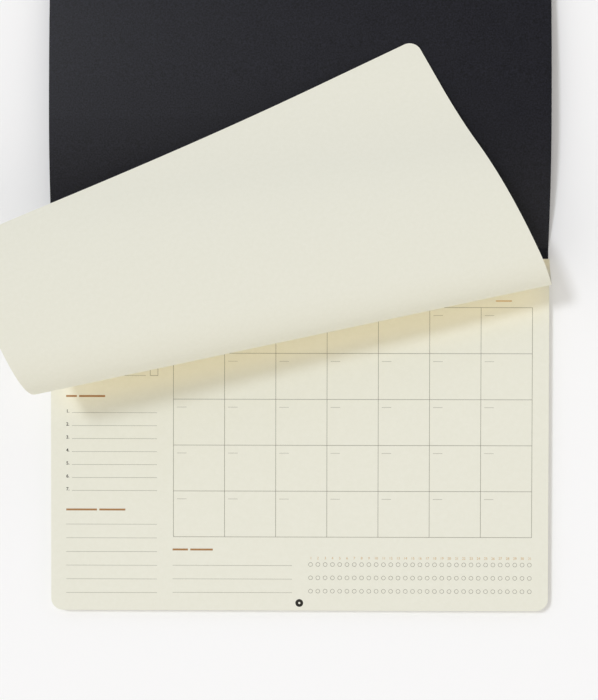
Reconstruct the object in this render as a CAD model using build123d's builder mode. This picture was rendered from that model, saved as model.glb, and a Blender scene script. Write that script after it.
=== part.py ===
"""Monthly desk pad: a glued block of large sheets on a card back, with its front cover thrown open.

The top sheet is turned back over the open cover: it rises from the glue, rolls over on a slanted line
and comes down until its free corner rests on the cover. Lengths are in millimetres and angles in degrees.
The origin is the middle of the pad's underside, +Y runs towards the glued edge and +Z is up.
"""
from build123d import *
import os
from math import radians, sin, sqrt

# Sheets and block
sheet_width = 420.0
sheet_length = 297.0
corner_radius = 10.0
paper_thick = 0.2
block_height = 7.7

# Card cover, glue and creases
card_thick = 0.6
glue_thick = 0.4
crease_gap = 0.3
score_radius = 0.2
spine_allowance = 0.6

# Bow of the open cover: its upper face stands this high where it is highest
arch_rise = 17.7
arch_peak_share = 0.37

# Turn of the top sheet: bends between straight rulings that join the right edge to the left one
lift_angle = 17.0
roll_angle = 159.0
spring_angle = -17.0
bend_right_shares = (0.0, 0.28, 0.64, 0.85)
bend_left_shares = (0.287, 0.675, 1.09, 1.55)
bend_folds = (80, 24, 12)
rest_gap = 0.5
steepest_settle = 90.0
settle_halvings = 40
grid_across = 16
grid_down = 56

# The bent sheet's corner arcs are this much larger, so that they cross its edges instead of grazing them
corner_arc_share = 1.02

# Every cut runs past what it cuts by this much
overrun = 2.0

# Places worked out from the sizes above
half_width = sheet_width / 2
half_length = sheet_length / 2
pad_top = card_thick + block_height
glue_back = half_length + glue_thick
strip_start = glue_back + crease_gap
leaf_crease = strip_start + pad_top + spine_allowance

# The lifted sheet's edge leans back by its own thickness, so it starts that much before the glue
glued_line = half_length - paper_thick * sin(radians(lift_angle))

# A shallow arc is longer than its run by two thirds of its rise squared over its length
leaf_rise = arch_rise - card_thick
rise_length = sheet_length * arch_peak_share
fall_length = sheet_length - rise_length
peak_y = leaf_crease + rise_length - 2 * leaf_rise**2 / (3 * rise_length)
leaf_end = peak_y + fall_length - 2 * leaf_rise**2 / (3 * fall_length)


def cover_height(y):
    """Height of the open cover's upper face, on the arc that falls from its peak to its far edge."""
    run = leaf_end - peak_y
    radius = (run**2 + leaf_rise**2) / (2 * leaf_rise) + card_thick
    return arch_rise - radius + sqrt(radius**2 - (y - peak_y) ** 2)


def fold_lines(settle_angle):
    """The sheet's fold lines, from the glue outwards: their place on each side edge, axis and angle.

    A bend is many small equal folds about rulings that run from one side edge of the flat sheet to
    the other, so the sheet is bent but never stretched.
    """
    glued_edge = Axis((half_width, 0, 0), (-1, 0, 0))
    folds = [(0, 0, glued_edge, lift_angle)]
    for bend, turn in enumerate((roll_angle, settle_angle, spring_angle)):
        count = bend_folds[bend]
        for fold in range(count):
            share = (fold + 0.5) / count
            right_share = bend_right_shares[bend] * (1 - share) + bend_right_shares[bend + 1] * share
            left_share = bend_left_shares[bend] * (1 - share) + bend_left_shares[bend + 1] * share
            right = sheet_length * right_share
            left = sheet_length * left_share
            ruling = Axis((half_width, -right, 0), (-sheet_width, right - left, 0))
            folds.append((right, left, ruling, turn / count))
    return folds


def folded_point(across, down, folds, height=0):
    """Where a point of the flat sheet goes: turned about each fold it lies beyond, the outermost first."""
    point = Vector(across, -down, height)
    share = (half_width - across) / sheet_width
    passed = [fold for fold in folds if fold[0] + (fold[1] - fold[0]) * share <= down]
    for right, left, ruling, angle in reversed(passed):
        point = ruling.position + (point - ruling.position).rotate(ruling, angle)
    return point + Vector(0, glued_line, pad_top)


def settled_folds():
    """Folds of the sheet when its free right corner has come down to rest on the open cover."""
    low, high = 0.0, steepest_settle
    for halving in range(settle_halvings):
        middle = (low + high) / 2
        corner = folded_point(half_width, sheet_length, fold_lines(middle))
        above = corner.Z - paper_thick - cover_height(corner.Y) - rest_gap
        low, high = (middle, high) if above > 0 else (low, middle)
    return fold_lines(middle)


os.makedirs("parts", exist_ok=True)

# Block of printed sheets
with BuildPart() as page_block:
    with BuildSketch(Plane.XY.offset(card_thick)):
        Rectangle(sheet_width, sheet_length)
    extrude(amount=block_height)
    open_corners = page_block.edges().filter_by(Axis.Z).group_by(Axis.Y)[0]
    fillet(open_corners, corner_radius)
page_block.part.label = "page_block"
export_step(page_block.part, "parts/page_block.step")

# Padding glue that holds the sheets along the binding edge, up to the turned sheet
with BuildPart() as binding_glue:
    with BuildSketch(Plane.XZ.offset(-half_length)):
        with Locations((0, card_thick)):
            Rectangle(sheet_width, block_height + paper_thick, align=(Align.CENTER, Align.MIN))
    extrude(amount=-glue_thick)
binding_glue.part.label = "binding_glue"
export_step(binding_glue.part, "parts/binding_glue.step")

# Card back, under the block and its glue as far as the foot of the spine
with BuildPart() as back_cover:
    with BuildSketch():
        with Locations((0, -half_length)):
            Rectangle(sheet_width, half_length + glue_back, align=(Align.CENTER, Align.MIN))
    extrude(amount=card_thick)
    open_corners = back_cover.edges().filter_by(Axis.Z).group_by(Axis.Y)[0]
    fillet(open_corners, corner_radius)
back_cover.part.label = "back_cover"
export_step(back_cover.part, "parts/back_cover.step")

# Open front cover: the spine strip flat on the desk, a scored crease and the bowed leaf
with BuildPart() as front_cover:
    with BuildSketch(Plane.YZ):
        with BuildLine():
            rise = TangentArc((peak_y, leaf_rise), (leaf_crease, 0), tangent=(-1, 0))
            fall = TangentArc((peak_y, leaf_rise), (leaf_end, 0), tangent=(1, 0))
            crease_top = rise @ 1 + (rise % 1).rotate(Axis.Z, -90) * card_thick
            end_top = fall @ 1 + (fall % 1).rotate(Axis.Z, 90) * card_thick
            TangentArc((peak_y, arch_rise), crease_top, tangent=(-1, 0))
            TangentArc((peak_y, arch_rise), end_top, tangent=(1, 0))
            Line(rise @ 1, crease_top)
            Line(fall @ 1, end_top)
        make_face()
        with Locations((strip_start, 0)):
            Rectangle(leaf_crease - strip_start, card_thick, align=Align.MIN)
    extrude(amount=half_width, both=True)
    far_face = front_cover.faces().sort_by(Axis.Y)[-1]
    fillet(far_face.edges().group_by(Axis.X)[0] + far_face.edges().group_by(Axis.X)[-1], corner_radius)
    with BuildSketch(Plane.YZ):
        with Locations((leaf_crease, card_thick)):
            Circle(score_radius)
    extrude(amount=half_width + overrun, both=True, mode=Mode.SUBTRACT)
front_cover.part.label = "front_cover"
export_step(front_cover.part, "parts/front_cover.step")

# Turned top sheet, bent without stretching, with its two free corners rounded
sheet_folds = settled_folds()
columns = [half_width - sheet_width * column / grid_across for column in range(grid_across + 1)]
rows = [sheet_length * row / grid_down for row in range(grid_down + 1)]
sheet_faces = []
for height in (0, paper_thick):
    curves = []
    for across in columns:
        points = [folded_point(across, down, sheet_folds, height) for down in rows]
        curves.append(Wire([Edge.make_spline(points, parameters=rows)]))
    sheet_faces.append(Shell.make_loft(curves).face())
edge_pairs = zip(sheet_faces[0].edges(), sheet_faces[1].edges())
sheet_faces += [Face.make_surface_from_curves(back, front) for back, front in edge_pairs]

with BuildPart() as turned_sheet:
    add(Solid(Shell(sheet_faces)))
    for side in (half_width, -half_width):
        corner = folded_point(side, sheet_length, sheet_folds)
        inward = folded_point(side, sheet_length - corner_radius, sheet_folds) - corner
        along = folded_point(side * (1 - corner_radius / half_width), sheet_length, sheet_folds) - corner
        with BuildSketch(Plane(origin=corner, x_dir=along, z_dir=along.cross(inward))):
            with Locations((-overrun, -overrun)):
                Rectangle(corner_radius + overrun, corner_radius + overrun, align=Align.MIN)
            with Locations((corner_radius, corner_radius)):
                Circle(corner_radius * corner_arc_share, mode=Mode.SUBTRACT)
        extrude(amount=overrun, both=True, mode=Mode.SUBTRACT)
turned_sheet.part.label = "turned_sheet"
export_step(turned_sheet.part, "parts/turned_sheet.step")
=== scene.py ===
# %% [markdown]
# # A monthly desk pad with its top sheet turned back
# The solids of the pad were drawn and packed elsewhere. This lesson loads them as a fixed frame and gives
# them what they lack: leaf edges, the smooth bend of the turned sheet, the print, the finishes, a soft
# light and the camera. Lengths are in millimetres until a mesh is made, because that is how paper is sold.

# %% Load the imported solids
import bmesh
import bpy
import numpy as np
from mathutils import Matrix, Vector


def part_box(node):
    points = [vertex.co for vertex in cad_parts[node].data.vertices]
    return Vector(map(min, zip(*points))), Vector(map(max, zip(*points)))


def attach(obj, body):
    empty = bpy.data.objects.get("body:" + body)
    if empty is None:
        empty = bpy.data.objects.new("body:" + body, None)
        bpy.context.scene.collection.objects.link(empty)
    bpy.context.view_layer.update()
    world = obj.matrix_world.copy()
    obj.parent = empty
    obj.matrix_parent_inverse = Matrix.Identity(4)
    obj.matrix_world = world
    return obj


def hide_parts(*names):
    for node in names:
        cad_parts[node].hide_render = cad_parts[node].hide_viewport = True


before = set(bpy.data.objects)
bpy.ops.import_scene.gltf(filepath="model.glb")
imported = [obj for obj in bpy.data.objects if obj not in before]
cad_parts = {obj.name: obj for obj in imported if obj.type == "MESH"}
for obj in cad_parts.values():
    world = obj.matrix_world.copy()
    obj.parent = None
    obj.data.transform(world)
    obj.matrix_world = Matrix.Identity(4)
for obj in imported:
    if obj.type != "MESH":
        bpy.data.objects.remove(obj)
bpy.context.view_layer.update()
mm = 0.001
page_low, page_high = (np.array(corner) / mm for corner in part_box("page_block"))
page_width, page_length, block_height = page_high - page_low
page_top = page_high[2]
print("page", page_width, "by", page_length, "mm, its face", page_top, "mm above the desk")

# %% [markdown]
# ## Helpers
# Every new piece is a mesh whose points are worked out as one array, so one helper turns arrays into an
# object. It could also be done with modelling operators, but arrays keep the formula of a shape in view.
# A second helper lists the four-sided faces between the rows and columns of a grid of points.

# %% Meshes from arrays


def grid_faces(rows, columns, rows_join=False, columns_join=False):
    """Faces of a grid of numbered points, row by row. A joined direction runs on into its own start."""
    row = np.arange(rows if rows_join else rows - 1)[:, None]
    column = np.arange(columns if columns_join else columns - 1)[None, :]
    next_row, next_column = (row + 1) % rows, (column + 1) % columns
    corners = (row * columns + column, next_row * columns + column,
               next_row * columns + next_column, row * columns + next_column)
    return np.stack(corners, axis=-1).reshape(-1, 4)


def make_piece(name, points, faces, body, slot, smooth=False, caps=()):
    """A mesh object from points in millimetres, riding on one body. A closed shell is turned outwards."""
    mesh = bpy.data.meshes.new(name)
    mesh.from_pydata((np.reshape(points, (-1, 3)) * mm).tolist(), [], [*map(list, faces), *caps])
    shell = bmesh.new()
    shell.from_mesh(mesh)
    if all(edge.is_manifold for edge in shell.edges):
        bmesh.ops.recalc_face_normals(shell, faces=shell.faces)
    shell.to_mesh(mesh)
    shell.free()
    mesh.polygons.foreach_set("use_smooth", np.full(len(mesh.polygons), smooth))
    mesh.update()
    made = bpy.data.objects.new(name, mesh)
    bpy.context.scene.collection.objects.link(made)
    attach(made, body)
    print(name, len(mesh.vertices), "points", len(mesh.polygons), "faces")
    return made


# %% [markdown]
# ## The bend of the turned sheet
# A turned sheet of paper bends but doesn't stretch. Cloth simulation could pose it, but paper is stiffer
# than that and the photograph shows one clean roll on a slanted line. So the flat sheet is folded a little
# about each of many straight lines that run from its right edge to its left edge. Three bends follow each
# other: the roll, the settling onto the open cover and a last slight spring upwards. The second angle is the
# one at which the free corner comes to rest just above the cover.

# %% Fold the sheet about many straight lines
paper_thick = 0.2
corner_radius = 10.0
lift_angle = 17.0
bend_angles = (159.0, 35.264, -17.0)
bend_right_shares = (0.0, 0.28, 0.64, 0.85)
bend_left_shares = (0.287, 0.675, 1.09, 1.55)
bend_folds = (400, 120, 60)
glued_line = page_high[1] - paper_thick * np.sin(np.radians(lift_angle))


def fold_distances(shares):
    """How far down one side edge each fold crosses it: even steps within each bend."""
    steps = [start + (end - start) * (np.arange(count) + 0.5) / count
             for start, end, count in zip(shares, shares[1:], bend_folds)]
    return page_length * np.concatenate(steps)


def fold_places(right, left):
    """The place of each flat strip between two folds, each one turned from the strip before it."""
    angles = np.radians(np.repeat(np.divide(bend_angles, bend_folds), bend_folds))
    places = [Matrix.Rotation(-np.radians(lift_angle), 4, "X")]
    for right_down, left_down, angle in zip(right, left, angles):
        start = Matrix.Translation((page_width / 2, -right_down, 0))
        turn = Matrix.Rotation(angle, 4, (-page_width, right_down - left_down, 0))
        places.append(places[-1] @ start @ turn @ start.inverted())
    return np.array(places)


right_folds, left_folds = fold_distances(bend_right_shares), fold_distances(bend_left_shares)
strip_places = fold_places(right_folds, left_folds)


def on_turned_sheet(across, down, height):
    """Where points of the flat sheet go: each takes the place of the strip that it lies on."""
    across, down, height = np.broadcast_arrays(across, down, height)
    share = 0.5 - across / page_width
    crossed = right_folds + (left_folds - right_folds) * share[..., None] <= down[..., None]
    flat = np.stack([across, -down, height, np.ones(across.shape)], axis=-1)
    turned = np.einsum("...ij,...j->...i", strip_places[crossed.sum(axis=-1)], flat)[..., :3]
    return turned + (0, glued_line, page_top)


print("free right corner", on_turned_sheet(page_width / 2, page_length, 0.0).round(2))

# %% [markdown]
# ## The turned sheet itself
# The sheet is a grid over the flat paper, carried through the bend twice: once for its printed face and
# once for its blank back, a paper's thickness apart. The two free corners are rounded, so the last rows
# follow a quarter circle inwards. The skins are shaded smooth, but the edges of the cut between them are
# marked sharp, so that the rim stays crisp. The flat coordinates are kept as a UV map, because grain that
# follows the paper has to bend with it.

# %% Lay out the flat sheet
sheet_columns, sheet_rows, corner_rows = 110, 240, 14
corner_turn = np.linspace(0, np.pi / 2, corner_rows + 1)[1:]
straight_down = np.linspace(0, page_length - corner_radius, sheet_rows)
sheet_down = np.concatenate([straight_down, page_length - corner_radius * (1 - np.sin(corner_turn))])
corner_inset = corner_radius * (1 - np.cos(corner_turn))
half_widths = page_width / 2 - np.concatenate([np.zeros(sheet_rows), corner_inset])
sheet_across = half_widths[:, None] * np.linspace(-1, 1, sheet_columns)
down_grid = np.broadcast_to(sheet_down[:, None], sheet_across.shape)
print("flat sheet", sheet_across.shape, "points")

# %% Build the turned sheet


def edge_ring(rows, columns):
    """Numbers of the points round the outside of a grid, in order."""
    number = np.arange(rows * columns).reshape(rows, columns)
    return np.concatenate([number[0, :-1], number[:-1, -1], number[-1, :0:-1], number[:0:-1, 0]])


def thin_sheet(front, back):
    """Points and faces of a closed sheet: its two skins, and a wall that joins their outer rings."""
    rows, columns = front.shape[:2]
    skin = grid_faces(rows, columns)
    ring, count = edge_ring(rows, columns), rows * columns
    next_on_ring = np.roll(ring, -1)
    wall = np.stack([ring, next_on_ring, next_on_ring + count, ring + count], axis=-1)
    return np.concatenate([front, back]), np.concatenate([skin, skin[:, ::-1] + count, wall])


front_skin = on_turned_sheet(sheet_across, down_grid, paper_thick)
back_skin = on_turned_sheet(sheet_across, down_grid, 0.0)
sheet = make_piece("turned_leaf", *thin_sheet(front_skin, back_skin), "pad", "sheet_paper", smooth=True)
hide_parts("turned_sheet")

# %% Sharpen its rim and keep its flat places
edge_ends = np.empty(2 * len(sheet.data.edges), dtype=int)
sheet.data.edges.foreach_get("vertices", edge_ends)
on_rim = np.zeros((2, sheet_across.size), dtype=bool)
on_rim[:, edge_ring(*sheet_across.shape)] = True
rim_edges = on_rim.ravel()[edge_ends].reshape(-1, 2).all(axis=1)
sheet.data.edges.foreach_set("use_edge_sharp", rim_edges)
flat_places = np.stack([sheet_across, -down_grid], axis=-1).reshape(-1, 2) * mm
corner_points = np.empty(len(sheet.data.loops), dtype=int)
sheet.data.loops.foreach_get("vertex_index", corner_points)
flat_map = sheet.data.uv_layers.new(name="flat")
flat_map.uv.foreach_set("vector", np.tile(flat_places, (2, 1))[corner_points].ravel())
print(rim_edges.sum(), "sharp edges, flat map on", len(corner_points), "corners")

# %% [markdown]
# ## The block of sheets below
# From a step away the block is a slab, but its cut edges show the separate leaves. Dozens of loose sheets
# would be heavy and would look the same, so the block is one outline carried up through the leaves: each leaf
# bulges a little at its middle, falls back at its two faces and stands a hair in or out of its neighbours.

# %% Draw the outline of a leaf
edge_steps, arc_steps = 40, 12


def block_outline():
    """Points round the pad, with square corners at the glue and rounded ones at the free edge."""
    right, free_edge = page_width / 2, -page_length / 2
    turn = np.linspace(0, np.pi / 2, arc_steps + 1)
    arc_x = right - corner_radius * (1 - np.cos(turn))
    arc_y = free_edge + corner_radius * (1 - np.sin(turn))
    side_y = np.linspace(page_length / 2, free_edge + corner_radius, edge_steps)[:-1]
    edge_x = np.linspace(right - corner_radius, corner_radius - right, edge_steps)[1:-1]
    side_x, edge_y = np.full(side_y.shape, right), np.full(edge_x.shape, free_edge)
    x = np.concatenate([side_x, arc_x, edge_x, -arc_x[::-1], -side_x])
    y = np.concatenate([side_y, arc_y, edge_y, arc_y[::-1], side_y[::-1]])
    return np.stack([x, y], axis=-1)


outline = block_outline()
print("leaf outline", len(outline), "points")

# %% Stack the leaf edges
leaf_count, leaf_groove, leaf_stray, leaf_seed = 38, 0.07, 0.12, 7
random_leaves = np.random.default_rng(leaf_seed)
level_count = 2 * leaf_count + 1
stray = random_leaves.uniform(-leaf_stray, 0, (leaf_count, 2)).repeat(2, axis=0)
inset = np.vstack([stray, stray[-1:]])
inset[::2] -= leaf_groove
inset[-1] = 0
levels = page_low[2] + block_height * np.arange(level_count) / (level_count - 1)
shrink = 1 + 2 * inset / (page_width, page_length)
leaf_points = np.empty((level_count, len(outline), 3))
leaf_points[..., 0] = outline[:, 0] * shrink[:, :1]
leaf_points[..., 1] = page_length / 2 - (page_length / 2 - outline[:, 1]) * shrink[:, 1:]
leaf_points[..., 2] = levels[:, None]
ring_size = len(outline)
page_caps = [list(range(ring_size)), list(range((level_count - 1) * ring_size, level_count * ring_size))]
leaf_faces = grid_faces(level_count, ring_size, columns_join=True)
leaves = make_piece("page_leaves", leaf_points, leaf_faces, "pad", "page_paper", caps=page_caps)
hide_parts("page_block")

# %% [markdown]
# ## The month's print
# The print is a table of seven days by five weeks, ruled lists at the left and below it, and three rows of
# small rings. It could be painted by a shader, but thin strips of ink stay sharp at any size. Places
# are measured across from the middle of the sheet and down from the glue, so that one drawing serves the
# flat page and, bent, the turned sheet. Headings are plain bars.

# %% Places of the print
ink_below, ink_above = -0.03, 0.04
table_left, table_right, table_top, table_foot = -106.5, 196.0, 40.7, 234.8
day_count, week_count = 7, 5
day_columns = np.linspace(table_left, table_right, day_count + 1)
week_rows = np.linspace(table_top, table_foot, week_count + 1)
list_left, list_right = -197.2, -120.4
note_left, note_right = -107.2, -6.2


def even_places(first, pitch, count):
    """Places in a row: the first one, and each next one a pitch further on."""
    return first + pitch * np.arange(count)


task_rows = even_places(first=98.5, pitch=-11.0, count=5)
ranked_rows = even_places(first=129.9, pitch=10.98, count=7)
highlight_rows = even_places(first=224.3, pitch=11.6, count=6)
note_rows = even_places(first=259.0, pitch=11.5, count=3)
ring_columns = even_places(first=9.5, pitch=6.16, count=31)
ring_rows = even_places(first=258.0, pitch=11.3, count=3)
print("day boxes", np.diff(day_columns)[0].round(2), "by", np.diff(week_rows)[0].round(2), "mm")

# %% Points and lines on a sheet


def on_page(across, down, height):
    """Where points of the flat sheet lie on the top of the block."""
    across, down, height = np.broadcast_arrays(across, down, height)
    return np.stack([across, page_high[1] - down, page_top + height], axis=-1)


def on_sheet_front(across, down, height):
    """Where points of the flat sheet lie on the printed face of the turned sheet."""
    return on_turned_sheet(across, down, paper_thick + height)


def level_lines(left, right, downs):
    """Start and end points of lines straight across the page."""
    downs = np.atleast_1d(downs)
    starts = np.stack([np.broadcast_to(left, downs.shape), downs], axis=-1)
    return starts, np.stack([np.broadcast_to(right, downs.shape), downs], axis=-1)


def upright_lines(acrosses, top, foot):
    """Start and end points of lines straight down the page."""
    acrosses = np.atleast_1d(acrosses)
    starts = np.stack([acrosses, np.broadcast_to(top, acrosses.shape)], axis=-1)
    return starts, np.stack([acrosses, np.broadcast_to(foot, acrosses.shape)], axis=-1)


def joined(*line_sets):
    """Several sets of lines as one."""
    return tuple(np.concatenate(ends) for ends in zip(*line_sets))


# %% Strips and rings of ink


def ink_strips(lines, width, place, steps):
    """A thin strip along each line: its rectangular section is carried in even steps from end to end."""
    starts, ends = lines
    along = ends - starts
    side = np.stack([-along[:, 1], along[:, 0]], axis=-1) / np.linalg.norm(along, axis=1, keepdims=True)
    share = np.linspace(0, 1, steps + 1)[None, :, None, None]
    offset = np.array([-0.5, 0.5, 0.5, -0.5])[None, None, :, None] * width
    height = np.array([ink_below, ink_below, ink_above, ink_above])
    flat = starts[:, None, None] + along[:, None, None] * share + side[:, None, None] * offset
    points = place(flat[..., 0], flat[..., 1], height)
    strip_size = 4 * (steps + 1)
    first = strip_size * np.arange(len(starts))[:, None, None]
    sides = grid_faces(steps + 1, 4, columns_join=True)
    ends_closed = np.array([[0, 1, 2, 3], [3, 2, 1, 0] + np.full(4, 4 * steps)])
    faces = np.concatenate([sides, ends_closed])[None] + first
    return points, faces.reshape(-1, 4)


def ink_rings(centres, radius, width, place, steps):
    """A flat ring at each centre: its rectangular section is carried once round the centre."""
    turn = np.linspace(0, 2 * np.pi, steps, endpoint=False)[None, :, None]
    reach = radius + np.array([-0.5, 0.5, 0.5, -0.5]) * width
    height = np.array([ink_below, ink_below, ink_above, ink_above])
    across = centres[:, 0, None, None] + reach * np.cos(turn)
    down = centres[:, 1, None, None] + reach * np.sin(turn)
    points = place(across, down, height)
    first = 4 * steps * np.arange(len(centres))[:, None, None]
    faces = grid_faces(steps, 4, rows_join=True, columns_join=True)[None] + first
    return points, faces.reshape(-1, 4)


# %% Lines that every month page has
table_lines = joined(upright_lines(day_columns, table_top, table_foot),
                     level_lines(table_left, table_right, week_rows))
dash_inset, dash_drop, dash_length = 3.0, 6.7, 8.0
dash_grid = np.meshgrid(day_columns[:-1] + dash_inset, week_rows[:-1] + dash_drop)
dash_across, dash_down = (places.ravel() for places in dash_grid)
rank_room, tick_room = 4.9, 9.3
rule_lines = joined(level_lines(list_left + rank_room, list_right, ranked_rows),
                    level_lines(list_left, list_right, highlight_rows),
                    level_lines(note_left, note_right, note_rows),
                    level_lines(list_left, list_right - tick_room, task_rows),
                    level_lines(dash_across, dash_across + dash_length, dash_down))
tick_inset, tick_size = 5.7, 6.5
tick_left, tick_tops = list_right - tick_inset, task_rows - tick_size
tick_boxes = joined(level_lines(tick_left, tick_left + tick_size, np.r_[task_rows, tick_tops]),
                    *(upright_lines(np.full(task_rows.shape, tick_left + edge), tick_tops, task_rows)
                      for edge in (0, tick_size)))
print(len(table_lines[0]), "table lines,", len(rule_lines[0]), "rules,", len(tick_boxes[0]), "box sides")

# %% Bars and rings that every month page has
bar_gap = 2.0
heading_left, heading_row, first_bar, second_bar = np.transpose([(list_left, 115.9, 9.0, 22.0),
                                                                 (list_left, 211.9, 26.0, 22.0),
                                                                 (note_left, 245.6, 13.0, 19.0)])
second_left = heading_left + first_bar + bar_gap
heading_bars = joined(level_lines(heading_left, heading_left + first_bar, heading_row),
                      level_lines(second_left, second_left + second_bar, heading_row))
weekday_inset, weekday_length, weekday_row = 12.3, 13.5, 35.1
weekday_left = day_columns[:-1] + weekday_inset
weekday_downs = np.full(day_count, weekday_row)
weekday_bars = level_lines(weekday_left, weekday_left + weekday_length, weekday_downs)
ring_centres = np.stack(np.meshgrid(ring_columns, ring_rows), axis=-1).reshape(-1, 2)
foot_centre = np.array([[0.0, 290.7]])
print(len(heading_bars[0]), "heading bars,", len(weekday_bars[0]), "weekdays,", len(ring_centres), "rings")

# %% [markdown]
# ## Numbers
# The ranked list is numbered from one to seven and the rings from one to thirty-one. Digits are the one kind
# of lettering that the pad carries, so they come from the built-in font, become a mesh at once and are then
# put in place as points. The figures of that font take up about 0.69 of its size in height.

# %% Shape the numbers
figure_share = 0.69


def number_mesh(text, height, weight):
    """Points and faces of one number: foot at zero, figures so high, strokes grown by the weight."""
    curve = bpy.data.curves.new("number", "FONT")
    curve.body = text
    curve.size = height / figure_share
    curve.offset = weight
    holder = bpy.data.objects.new("number", curve)
    mesh = bpy.data.meshes.new_from_object(holder)
    points = np.empty(3 * len(mesh.vertices))
    mesh.vertices.foreach_get("co", points)
    faces = [list(face.vertices) for face in mesh.polygons]
    bpy.data.objects.remove(holder)
    bpy.data.curves.remove(curve)
    bpy.data.meshes.remove(mesh)
    return points.reshape(-1, 3), faces


def number_row(texts, across, down, height, weight, place, centred):
    """Points and faces of numbers in a row or column, each set with its foot on its own place."""
    points, faces, first = [], [], 0
    for text, x, y in zip(texts, across, down):
        figure, figure_faces = number_mesh(text, height, weight)
        middle = figure[:, 0].max() / 2 if centred else 0
        points.append(place(x + figure[:, 0] - middle, y - figure[:, 1], ink_above))
        faces += [[first + corner for corner in face] for face in figure_faces]
        first += len(figure)
    return np.concatenate(points), faces


rank_texts = [f"{rank}." for rank in range(1, len(ranked_rows) + 1)]
day_texts = [str(day) for day in range(1, len(ring_columns) + 1)]
print("figures", rank_texts[0], "to", rank_texts[-1], "and", day_texts[0], "to", day_texts[-1])

# %% [markdown]
# ## Two printed sheets
# The flat page and the turned sheet carry the same month. Each colour and weight of line is a piece of its
# own, so that its ink can be told apart later. A dark dot with a pale centre marks the middle of the foot. On
# the turned sheet each strip has many steps, so that it follows the bend.

# %% Print the flat page and the turned sheet
table_width, rule_width, heading_width, weekday_width = 0.34, 0.22, 1.6, 1.0
ring_radius, ring_width, ring_steps = 1.65, 0.3, 20
dot_radius, dot_width, dot_steps = 2.1, 2.4, 48
rank_height, rank_weight, day_height, day_weight, day_row = 2.6, 0.08, 2.1, 0.0, 253.6
flat_steps, bent_steps = 1, 60


def print_month(name, place, steps):
    """The ink of one month page, in pieces by colour and weight of line."""
    made = {}
    made["table"] = ink_strips(joined(table_lines, tick_boxes), table_width, place, steps)
    made["rules"] = ink_strips(rule_lines, rule_width, place, steps)
    made["headings"] = ink_strips(heading_bars, heading_width, place, steps)
    made["weekdays"] = ink_strips(weekday_bars, weekday_width, place, steps)
    made["rings"] = ink_rings(ring_centres, ring_radius, ring_width, place, ring_steps)
    made["dot"] = ink_rings(foot_centre, dot_radius, dot_width, place, dot_steps)
    rank_across = np.full(len(rank_texts), list_left)
    day_down = np.full(len(day_texts), day_row)
    made["ranks"] = number_row(rank_texts, rank_across, ranked_rows, rank_height, rank_weight, place, False)
    made["days"] = number_row(day_texts, ring_columns, day_down, day_height, day_weight, place, True)
    return {kind: make_piece(name + "_" + kind, *shape, "pad", "page_paper") for kind, shape in made.items()}


page_print = print_month("page", on_page, flat_steps)
sheet_print = print_month("leaf", on_sheet_front, bent_steps)

# %% [markdown]
# ## Shared effects
# Paper of one making is used for the page, the turned sheet and the leaf edges, so its fibre is one node
# group with its own inputs. Ink never lies quite evenly either, so the inks share a second group. Groups
# hand out only colours and heights. The shader itself stays in each material.

# %% Node helpers


def srgb(red, green, blue):
    """A colour given in the eight-bit values of a screen, as the light values that shaders use."""
    values = np.array([red, green, blue]) / 255
    linear = np.where(values <= 0.04045, values / 12.92, ((values + 0.055) / 1.055) ** 2.4)
    return (*linear, 1.0)


def new_group(name, inputs, outputs):
    """An empty shader group with named sockets, each given as its name and kind."""
    group = bpy.data.node_groups.new(name, "ShaderNodeTree")
    for side, sockets in (("INPUT", inputs), ("OUTPUT", outputs)):
        for title, kind in sockets:
            group.interface.new_socket(title, in_out=side, socket_type="NodeSocket" + kind)
    return group, group.nodes.new("NodeGroupInput"), group.nodes.new("NodeGroupOutput")


def add_node(tree, kind, settings=None, **inputs):
    """A node with some settings and inputs. An input is a value, or an output socket to link from."""
    node = tree.nodes.new("ShaderNode" + kind)
    for key, value in (settings or {}).items():
        setattr(node, key, value)
    for key, value in inputs.items():
        socket = node.inputs[int(key[1:]) if key[0] == "_" else key.replace("_", " ")]
        if isinstance(value, bpy.types.NodeSocket):
            tree.links.new(value, socket)
        else:
            socket.default_value = value
    return node


def new_material(name):
    """A material with nothing but its principled shader, and the tree to add to."""
    material = bpy.data.materials.new(name)
    material.use_nodes = True
    return material, material.node_tree, material.node_tree.nodes["Principled BSDF"]


# %% Fibre of uncoated paper
fibre, fibre_in, fibre_out = new_group(
    "paper_fibre",
    [("Vector", "Vector"), ("Paper", "Color"), ("Fleck", "Color"),
     ("Cloud Size", "Float"), ("Fibre Size", "Float")],
    [("Color", "Color"), ("Height", "Float")])
cloud = add_node(fibre, "TexNoise", Vector=fibre_in.outputs["Vector"], Scale=fibre_in.outputs["Cloud Size"],
                 Detail=2.0)
thread = add_node(fibre, "TexNoise", Vector=fibre_in.outputs["Vector"], Scale=fibre_in.outputs["Fibre Size"],
                  Detail=4.0, Distortion=1.5)
both = add_node(fibre, "Math", {"operation": "MULTIPLY"}, _0=cloud.outputs["Fac"], _1=thread.outputs["Fac"])
fleck_mask = add_node(fibre, "MapRange", Value=both.outputs["Value"], From_Min=0.15, From_Max=0.45)
tint = add_node(fibre, "MixRGB", Fac=fleck_mask.outputs["Result"], Color1=fibre_in.outputs["Fleck"],
                Color2=fibre_in.outputs["Paper"])
fibre.links.new(tint.outputs["Color"], fibre_out.inputs["Color"])
fibre.links.new(thread.outputs["Fac"], fibre_out.inputs["Height"])
print("paper fibre group with", len(fibre.nodes), "nodes")

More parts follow.
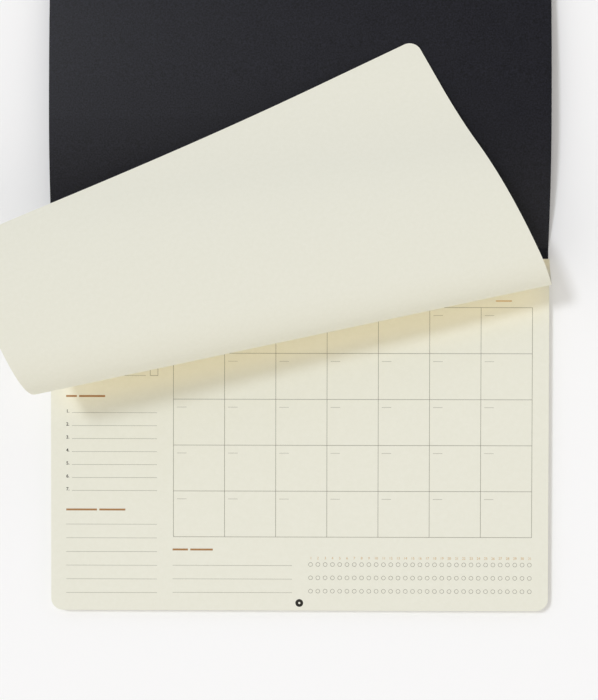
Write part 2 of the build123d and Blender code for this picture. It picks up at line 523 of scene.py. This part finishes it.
# %% Unevenness of ink
ink_lay, ink_in, ink_out = new_group(
    "ink_lay", [("Vector", "Vector"), ("Ink", "Color"), ("Thin Ink", "Color")], [("Color", "Color")])
speckle = add_node(ink_lay, "TexNoise", Vector=ink_in.outputs["Vector"], Scale=2500.0, Detail=2.0)
ink_tint = add_node(ink_lay, "MixRGB", Fac=speckle.outputs["Fac"], Color1=ink_in.outputs["Thin Ink"],
                    Color2=ink_in.outputs["Ink"])
ink_lay.links.new(ink_tint.outputs["Color"], ink_out.inputs["Color"])
print("ink group with", len(ink_lay.nodes), "nodes")

# %% [markdown]
# ## Paper
# The pad is a warm cream book paper, uncoated and matt, with a faint cloud of fibre in it. Light that goes
# through the sheet could be traced as well, but under the roll it has to pass two layers, and a short render
# finds hardly any of it. So both papers are plain matt surfaces, and a later step sees to the glow. The flat
# UV map carries the fibre of the turned sheet round its bend.

# %% Finish the page, the leaf edges and the turned sheet
cream, cream_fleck = srgb(235, 234, 221), srgb(232, 231, 217)


def paper(name, colour, fleck, coordinates):
    """Matt paper with its fibre, on object coordinates or on a UV map that is named."""
    material, tree, shader = new_material(name)
    if coordinates == "Object":
        place = add_node(tree, "TexCoord").outputs["Object"]
    else:
        place = add_node(tree, "UVMap", {"uv_map": coordinates}).outputs["UV"]
    grain = add_node(tree, "Group", {"node_tree": fibre}, Vector=place, Paper=colour, Fleck=fleck,
                     Cloud_Size=300.0, Fibre_Size=1500.0)
    relief = add_node(tree, "Bump", Strength=0.06, Distance=0.0002, Height=grain.outputs["Height"])
    tree.links.new(grain.outputs["Color"], shader.inputs["Base Color"])
    tree.links.new(relief.outputs["Normal"], shader.inputs["Normal"])
    shader.inputs["Roughness"].default_value = 0.85
    shader.inputs["Specular IOR Level"].default_value = 0.25
    return material


page_paper = paper("flat_paper", cream, cream_fleck, "Object")
leaves.data.materials.append(page_paper)
sheet_paper = paper("bent_paper", cream, cream_fleck, "flat")
sheet.data.materials.append(sheet_paper)
print("papers", page_paper.name, "and", sheet_paper.name)

# %% [markdown]
# ## Inks
# Four inks are printed: olive grey lines, copper headings, light copper weekdays and day numbers, and black
# ranks. None of them shines. Each is the same small material with its own colour.

# %% Finish the print


def ink(name, colour, thin_colour):
    """A matt ink that is a little thinner in places."""
    material, tree, shader = new_material(name)
    place = add_node(tree, "TexCoord").outputs["Object"]
    lay = add_node(tree, "Group", {"node_tree": ink_lay}, Vector=place, Ink=colour, Thin_Ink=thin_colour)
    tree.links.new(lay.outputs["Color"], shader.inputs["Base Color"])
    shader.inputs["Roughness"].default_value = 0.8
    shader.inputs["Specular IOR Level"].default_value = 0.2
    return material


olive_ink = ink("olive_ink", srgb(112, 108, 96), srgb(140, 136, 122))
copper_ink = ink("copper_ink", srgb(156, 112, 68), srgb(180, 138, 94))
light_copper_ink = ink("light_copper_ink", srgb(200, 160, 102), srgb(214, 182, 130))
black_ink = ink("black_ink", srgb(34, 33, 30), srgb(58, 56, 50))
inks = {"table": olive_ink, "rules": olive_ink, "rings": olive_ink, "headings": copper_ink,
        "weekdays": light_copper_ink, "days": light_copper_ink, "ranks": black_ink, "dot": black_ink}
for printed in (page_print, sheet_print):
    for kind, piece in printed.items():
        piece.data.materials.append(inks[kind])
print(len(inks), "kinds of print on two sheets")

# %% [markdown]
# ## Black card and padding glue
# The covers are black card with a fine pressed grain, and the glue along the binding edge is a rubbery white
# film in which the edges of the leaves can still be felt. Both solids have the right shape already, so they
# only get a finish.

# %% Finish the card


def finish_node(name, material):
    """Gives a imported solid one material."""
    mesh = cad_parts[name].data
    mesh.materials.clear()
    mesh.materials.append(material)


card, card_tree, card_shader = new_material("black_card")
card_place = add_node(card_tree, "TexCoord").outputs["Object"]
card_grain = add_node(card_tree, "TexNoise", Vector=card_place, Scale=800.0, Detail=3.0)
card_cloud = add_node(card_tree, "TexNoise", Vector=card_place, Scale=60.0, Detail=3.0)
card_speckle = add_node(card_tree, "MapRange", Value=card_grain.outputs["Fac"], From_Min=0.3, From_Max=0.7)
card_tint = add_node(card_tree, "MixRGB", Fac=card_speckle.outputs["Result"], Color1=srgb(2, 2, 6),
                     Color2=srgb(29, 29, 39))
card_relief = add_node(card_tree, "Bump", Strength=0.12, Distance=0.0002, Height=card_grain.outputs["Fac"])
card_rough = add_node(card_tree, "MapRange", Value=card_cloud.outputs["Fac"], To_Min=0.36, To_Max=0.44)
card_tree.links.new(card_tint.outputs["Color"], card_shader.inputs["Base Color"])
card_tree.links.new(card_relief.outputs["Normal"], card_shader.inputs["Normal"])
card_tree.links.new(card_rough.outputs["Result"], card_shader.inputs["Roughness"])
card_shader.inputs["Specular IOR Level"].default_value = 0.28
for name in ("front_cover", "back_cover"):
    finish_node(name, card)
print("finished the covers with", card.name)

# %% Finish the glue
glue, glue_tree, glue_shader = new_material("white_glue")
glue_place = add_node(glue_tree, "TexCoord").outputs["Object"]
glue_stretch = add_node(glue_tree, "Mapping", Vector=glue_place, Scale=(60.0, 60.0, 5000.0))
glue_lines = add_node(glue_tree, "TexNoise", Vector=glue_stretch.outputs["Vector"], Scale=1.0, Detail=2.0)
glue_tint = add_node(glue_tree, "MixRGB", Fac=glue_lines.outputs["Fac"], Color1=srgb(222, 219, 206),
                     Color2=srgb(240, 238, 228))
glue_relief = add_node(glue_tree, "Bump", Strength=0.4, Distance=0.0002, Height=glue_lines.outputs["Fac"])
glue_tree.links.new(glue_tint.outputs["Color"], glue_shader.inputs["Base Color"])
glue_tree.links.new(glue_relief.outputs["Normal"], glue_shader.inputs["Normal"])
glue_shader.inputs["Roughness"].default_value = 0.35
finish_node("binding_glue", glue)
print("finished the binding edge with", glue.name)

# %% [markdown]
# ## Desk and light
# The pad lies on a plain white desk under one broad lamp at the upper left, with much soft light from the
# whole room. The room could be one flat grey, but black card mirrors whatever is above it. So the walls are
# a little brighter and warmer in front of the pad than behind it, and a patch overhead on the right is dark.
# The open cover then fades from grey to black as it does in the photograph. The camera sees none of this,
# only a pale backdrop that runs into the desk.

# %% Lay the desk
desk_reach = 12.0
desk_depth = -0.05 * mm
desk_mesh = bpy.data.meshes.new("desk")
desk_corners = np.array([(-1, -1), (1, -1), (1, 1), (-1, 1)]) * desk_reach
desk_points = [(x, y, desk_depth) for x, y in desk_corners.tolist()]
desk_mesh.from_pydata(desk_points, [], [(0, 1, 2, 3)])
desk = bpy.data.objects.new("desk", desk_mesh)
bpy.context.scene.collection.objects.link(desk)
desk_paint, _, desk_shader = new_material("white_desk")
desk_shader.inputs["Base Color"].default_value = srgb(250, 250, 251)
desk_shader.inputs["Roughness"].default_value = 0.7
desk_shader.inputs["Specular IOR Level"].default_value = 0.1
desk_mesh.materials.append(desk_paint)
print("desk", 2 * desk_reach, "m wide")

# %% Hang the lamp
light_travel = np.array([0.441, -0.297, -0.847])
lamp_strength, lamp_angle = 0.93, 10.0
lamp_colour = (0.96, 1.0, 1.06)
lamp_data = bpy.data.lights.new("window", "SUN")
lamp_data.energy = lamp_strength
lamp_data.color = lamp_colour
lamp_data.angle = np.radians(lamp_angle)
lamp = bpy.data.objects.new("window", lamp_data)
back = -light_travel / np.linalg.norm(light_travel)
side = np.cross((0.0, 1.0, 0.0), back)
side /= np.linalg.norm(side)
lamp.matrix_world = Matrix(np.stack([side, np.cross(back, side), back], axis=1).tolist()).to_4x4()
bpy.context.scene.collection.objects.link(lamp)
print("lamp", lamp_strength, "from", back.round(2))

# %% Light the room
warm_wall, cool_wall = (1.06, 1.02, 0.94, 1.0), (0.74, 0.74, 0.76, 1.0)
warm_side = (0.4, -0.92, 0.0)
floor_level, wall_level, wall_height = 0.7, 1.0, 0.5
dark_side, dark_reach = (0.35, 0.25, 0.9), 0.82
room = bpy.data.worlds.new("room")
room.use_nodes = True
bpy.context.scene.world = room
room_tree = room.node_tree
sky = add_node(room_tree, "TexCoord")
direction = add_node(room_tree, "SeparateXYZ", Vector=sky.outputs["Generated"])
towards = add_node(room_tree, "VectorMath", {"operation": "DOT_PRODUCT"}, _0=sky.outputs["Generated"],
                   _1=warm_side)
warmth = add_node(room_tree, "MapRange", Value=towards.outputs["Value"], From_Min=-1.0)
walls = add_node(room_tree, "MixRGB", Fac=warmth.outputs["Result"], Color1=cool_wall, Color2=warm_wall)
rise = add_node(room_tree, "MapRange", Value=direction.outputs["Z"], From_Max=wall_height, To_Min=floor_level,
                To_Max=wall_level)
overhead = add_node(room_tree, "VectorMath", {"operation": "DOT_PRODUCT"}, _0=sky.outputs["Generated"],
                    _1=dark_side)
shade = add_node(room_tree, "MapRange", Value=overhead.outputs["Value"], From_Min=dark_reach, To_Min=1.0,
                 To_Max=0.0)
room_level = add_node(room_tree, "Math", {"operation": "MULTIPLY"}, _0=rise.outputs["Result"],
                      _1=shade.outputs["Result"])
ray = add_node(room_tree, "LightPath")
seen = add_node(room_tree, "MixRGB", Fac=ray.outputs["Is Camera Ray"], Color1=walls.outputs["Color"],
                Color2=srgb(247, 247, 247))
level = add_node(room_tree, "Mix", Factor=ray.outputs["Is Camera Ray"], A=room_level.outputs["Value"], B=1.0)
backdrop = room_tree.nodes["Background"]
room_tree.links.new(seen.outputs["Color"], backdrop.inputs["Color"])
room_tree.links.new(level.outputs["Result"], backdrop.inputs["Strength"])
print("walls", warm_wall[:3], "and", cool_wall[:3], "dark towards", dark_side)

# %% [markdown]
# ## Glow of the paper
# In the photograph the shadow below the roll and the mouth of the roll are golden, because some light falls
# through the sheet and is then thrown to and fro between faces of cream paper. To follow all of that light
# would take a very long render, so two faint amber strip lamps stand in for it. They can't be seen
# themselves: the one along the front of the roll lights nothing but the page, and the one in its mouth only
# the sheet.

# %% Hang the amber lamps
glow_colour = (1.0, 0.65, 0.0)
glow_width = 10.0
glow_turn, glow_spread = np.radians([11.6, 90.0])


def hang_glow(name, middle, length, energy, pieces):
    """A strip lamp along the roll that shines downwards and lights only the pieces that are given."""
    data = bpy.data.lights.new(name, "AREA")
    data.shape = "RECTANGLE"
    data.size, data.size_y = length * mm, glow_width * mm
    data.energy, data.color, data.spread = energy, glow_colour, glow_spread
    strip = bpy.data.objects.new(name, data)
    strip.matrix_world = Matrix.Translation(np.multiply(middle, mm)) @ Matrix.Rotation(glow_turn, 4, "Z")
    strip.visible_camera = False
    bpy.context.scene.collection.objects.link(strip)
    lit = bpy.data.collections.new(name + "_lit")
    for piece in pieces:
        lit.objects.link(piece)
    strip.light_linking.receiver_collection = lit
    strip.light_linking.blocker_collection = lit


hang_glow("page_glow", middle=(6.0, 76.8, 40.0), length=416.0, energy=0.0056,
          pieces=(leaves, *page_print.values()))
hang_glow("roll_glow", middle=(188.0, 150.0, 42.0), length=60.0, energy=0.0013,
          pieces=(sheet, *sheet_print.values()))

# %% [markdown]
# ## Camera
# The camera looks almost straight down from about a metre and a half. Its place and tilt were fitted to the
# corners of the page and the edges of the sheet.

# %% Stand the camera
picture_height, pixels_per_mm = 700, 1.179
camera_distance = 1432.14
focus_pixels = pixels_per_mm * camera_distance
camera_tilt, camera_roll, camera_turn = np.radians([-1.16, 0.47, 0.10])
camera_aim = np.array([-0.643, 71.653, 0.0])
camera_data = bpy.data.cameras.new("camera")
camera_data.sensor_fit = "VERTICAL"
camera_data.sensor_height = 24.0
camera_data.lens = focus_pixels * camera_data.sensor_height / picture_height
camera_data.clip_end = 50.0
camera = bpy.data.objects.new("camera", camera_data)
turned = (Matrix.Rotation(camera_turn, 4, "Z") @ Matrix.Rotation(camera_roll, 4, "Y")
          @ Matrix.Rotation(camera_tilt, 4, "X"))
stand = Matrix.Translation(camera_aim * mm) @ turned @ Matrix.Translation((0, 0, camera_distance * mm))
camera.matrix_world = stand
bpy.context.scene.collection.objects.link(camera)
bpy.context.scene.camera = camera
bpy.context.scene.view_settings.view_transform = "Standard"
print("camera at", tuple(round(value, 3) for value in stand.translation), "lens", round(camera_data.lens, 2))
